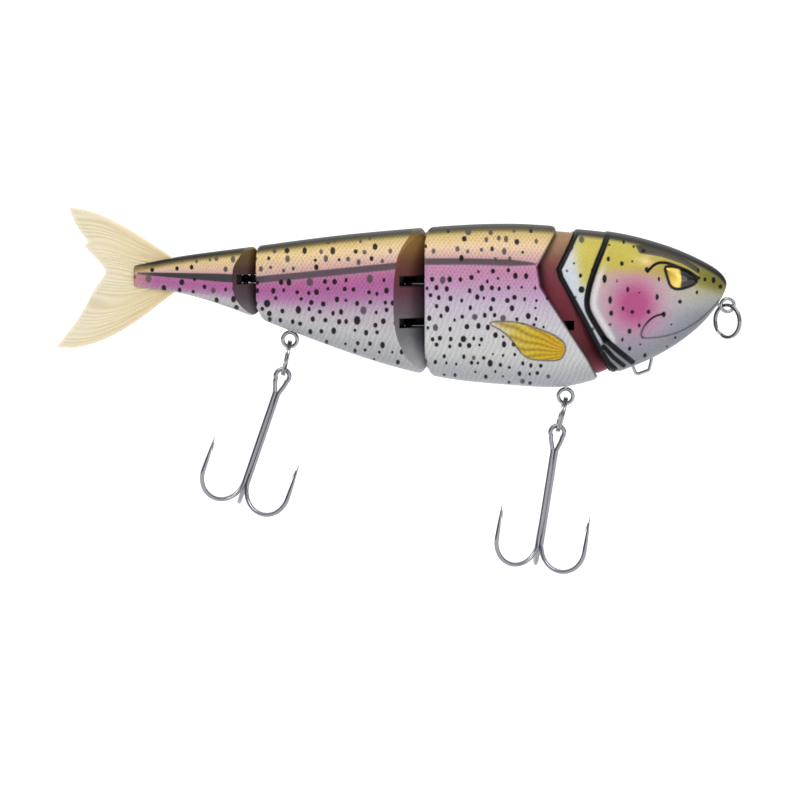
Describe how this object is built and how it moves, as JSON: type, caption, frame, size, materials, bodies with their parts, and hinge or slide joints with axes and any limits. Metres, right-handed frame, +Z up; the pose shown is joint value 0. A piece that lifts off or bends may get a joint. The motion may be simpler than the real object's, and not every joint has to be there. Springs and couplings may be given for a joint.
{
  "type": "swimbait",
  "caption": "Jointed hard-plastic fishing lure shaped like a trout, with hinged body sections, a soft forked tail, split rings and treble hooks.",
  "frame": {"origin": "centre of the wire eye at the nose, where the line is tied", "axes": "+X ahead of the nose along the body, +Y to the fish's left, +Z up"},
  "size_m": [0.1929, 0.0268, 0.1034],
  "materials": {
    "head_paint": "painted hard plastic under clear gloss lacquer",
    "body_paint": "painted hard plastic with moulded scales under clear gloss lacquer",
    "eye_lens": "glossy gold and black",
    "wire_steel": "bright stainless wire",
    "pin_steel": "plain stainless rod",
    "ballast_steel": "plain steel bar",
    "split_ring_steel": "bright nickel plate",
    "hook_steel": "dark nickel plate",
    "soft_tail": "soft translucent cream plastic"
  },
  "bodies": {
    "head": {"head_shell_right": "head_paint", "head_shell_left": "head_paint", "eye_right": "eye_lens", "eye_left": "eye_lens", "nose_line_tie": "wire_steel", "chin_eye": "wire_steel", "head_hinge_pin": "pin_steel", "head_ballast": "ballast_steel"},
    "line_tie_ring": {"line_tie_split_ring": "split_ring_steel"},
    "front_section": {"front_shell_right": "body_paint", "front_shell_left": "body_paint", "head_joint_eye_upper": "wire_steel", "head_joint_eye_lower": "wire_steel", "mid_joint_eye_upper": "wire_steel", "mid_joint_eye_lower": "wire_steel", "front_hook_hanger": "wire_steel", "front_ballast": "ballast_steel"},
    "mid_section": {"mid_shell_right": "body_paint", "mid_shell_left": "body_paint", "mid_hinge_pin": "pin_steel", "mid_ballast": "ballast_steel", "rear_joint_eye": "wire_steel", "rear_hook_hanger": "wire_steel"},
    "rear_section": {"rear_shell_right": "body_paint", "rear_shell_left": "body_paint", "rear_hinge_pin": "pin_steel", "tail_retainer_pin": "pin_steel", "tail_root": "soft_tail"},
    "tail": {"tail_blade": "soft_tail"},
    "front_ring": {"front_split_ring": "split_ring_steel"},
    "front_hook": {"front_treble_hook": "hook_steel"},
    "rear_ring": {"rear_split_ring": "split_ring_steel"},
    "rear_hook": {"rear_treble_hook": "hook_steel"}
  },
  "joints": [
    {"name": "head_yaw", "type": "hinge", "parent": "head", "child": "front_section", "pos_m": [-0.0465, 0, 0], "axis": [0, 0, 1], "range_deg": [-20, 20]},
    {"name": "mid_yaw", "type": "hinge", "parent": "front_section", "child": "mid_section", "pos_m": [-0.0897, 0, 0], "axis": [0, 0, 1], "range_deg": [-35, 35]},
    {"name": "rear_yaw", "type": "hinge", "parent": "mid_section", "child": "rear_section", "pos_m": [-0.1356, 0, 0], "axis": [0, 0, 1], "range_deg": [-35, 35]},
    {"name": "tail_flex", "type": "hinge", "parent": "rear_section", "child": "tail", "pos_m": [-0.1686, 0, 0], "axis": [0, 0, 1], "range_deg": [-30, 30], "stiffness_Nm_per_rad": 0.002},
    {"name": "line_tie_ring_swing", "type": "hinge", "parent": "head", "child": "line_tie_ring", "pos_m": [0, 0, 0.00005], "axis": [-0.7071, 0.7071, 0], "range_deg": [-50, 28]},
    {"name": "front_ring_swing", "type": "hinge", "parent": "front_section", "child": "front_ring", "pos_m": [-0.0455, 0, -0.02642], "axis": [0, 1, 0], "range_deg": [-70, 45]},
    {"name": "front_hook_swing", "type": "hinge", "parent": "front_ring", "child": "front_hook", "pos_m": [-0.04753, 0, -0.03406], "axis": [0.9882, 0, -0.153], "range_deg": [-50, 50]},
    {"name": "rear_ring_swing", "type": "hinge", "parent": "mid_section", "child": "rear_ring", "pos_m": [-0.1232, 0, -0.01042], "axis": [0, 1, 0], "range_deg": [-60, 40]},
    {"name": "rear_hook_swing", "type": "hinge", "parent": "rear_ring", "child": "rear_hook", "pos_m": [-0.12469, 0, -0.01819], "axis": [0.9455, 0, -0.3256], "range_deg": [-50, 50]}
  ]
}
